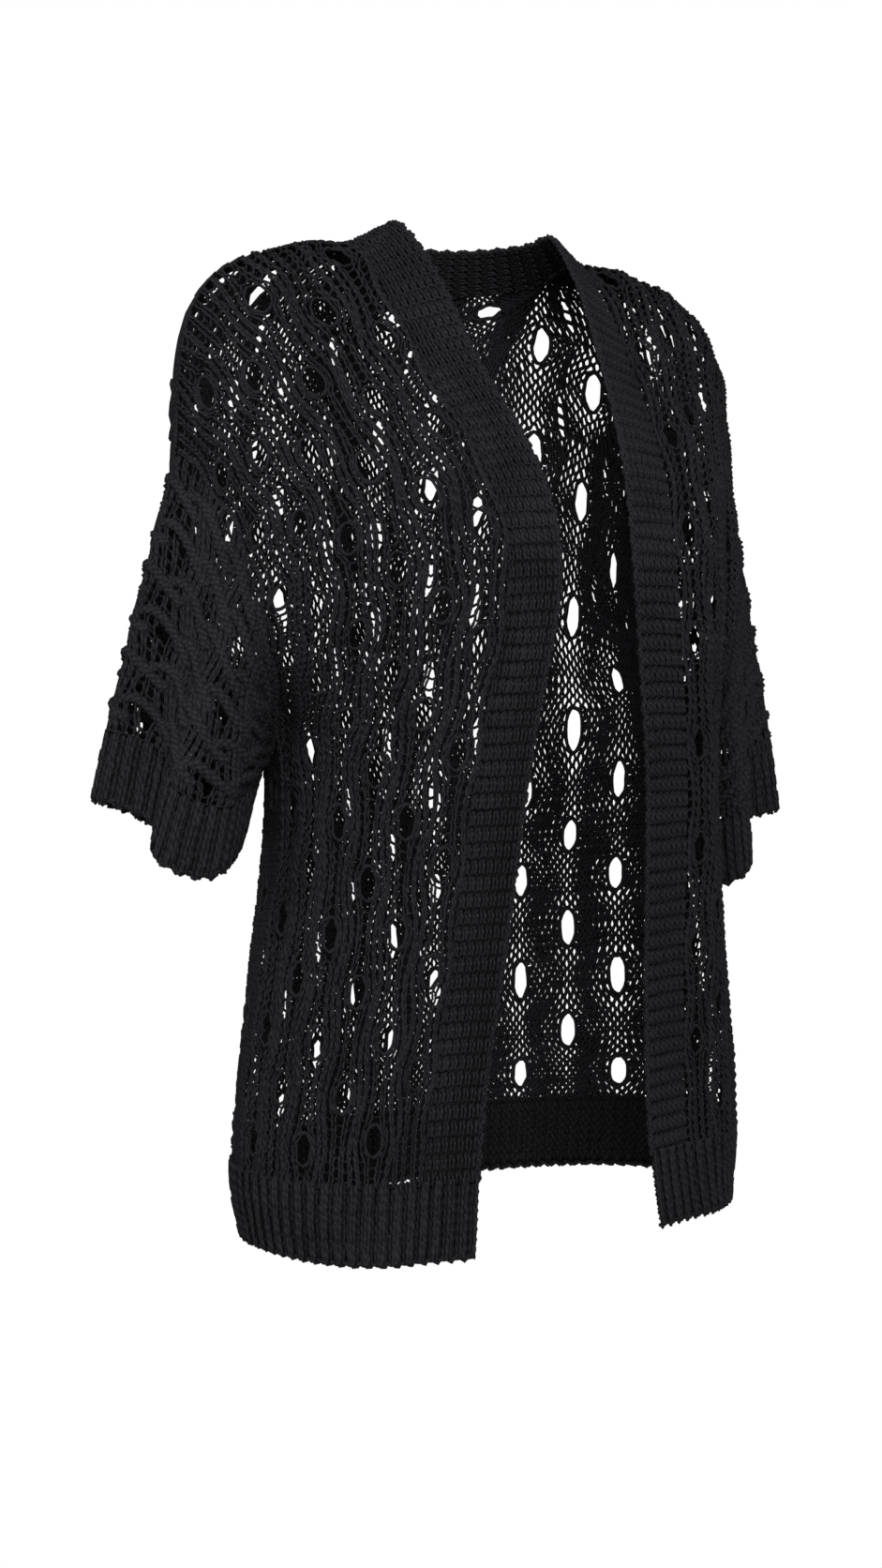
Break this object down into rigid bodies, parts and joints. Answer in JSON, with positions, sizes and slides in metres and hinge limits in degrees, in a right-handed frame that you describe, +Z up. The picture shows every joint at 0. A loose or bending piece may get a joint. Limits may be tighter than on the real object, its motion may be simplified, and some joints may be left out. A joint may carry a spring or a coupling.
{
  "type": "open-knit cardigan",
  "caption": "Open-front lace-knit cardigan with ribbed band, hem and cuffs and short wide drop-shoulder sleeves, held as worn.",
  "frame": {"origin": "on the wearer's middle plane at the level of the shoulder seams at the neck, where the garment rests on its wearer", "axes": "+X to the wearer's left, -Y to the wearer's front, +Z up"},
  "size_m": [0.5659, 0.2573, 0.6901],
  "materials": {
    "back_yarn": "matt knitted yarn",
    "right_front_yarn": "matt knitted yarn",
    "left_front_yarn": "matt knitted yarn",
    "right_sleeve_yarn": "matt knitted yarn",
    "left_sleeve_yarn": "matt knitted yarn",
    "right_cuff_yarn": "matt knitted yarn",
    "left_cuff_yarn": "matt knitted yarn",
    "back_hem_yarn": "matt knitted yarn",
    "right_front_hem_yarn": "matt knitted yarn",
    "left_front_hem_yarn": "matt knitted yarn",
    "right_band_yarn": "matt knitted yarn",
    "neck_band_yarn": "matt knitted yarn",
    "left_band_yarn": "matt knitted yarn"
  },
  "bodies": {
    "root": {"back": "back_yarn", "right_front": "right_front_yarn", "left_front": "left_front_yarn", "right_sleeve": "right_sleeve_yarn", "left_sleeve": "left_sleeve_yarn", "right_cuff": "right_cuff_yarn", "left_cuff": "left_cuff_yarn", "back_hem": "back_hem_yarn", "right_front_hem": "right_front_hem_yarn", "left_front_hem": "left_front_hem_yarn", "right_band": "right_band_yarn", "neck_band": "neck_band_yarn", "left_band": "left_band_yarn"}
  },
  "joints": []
}
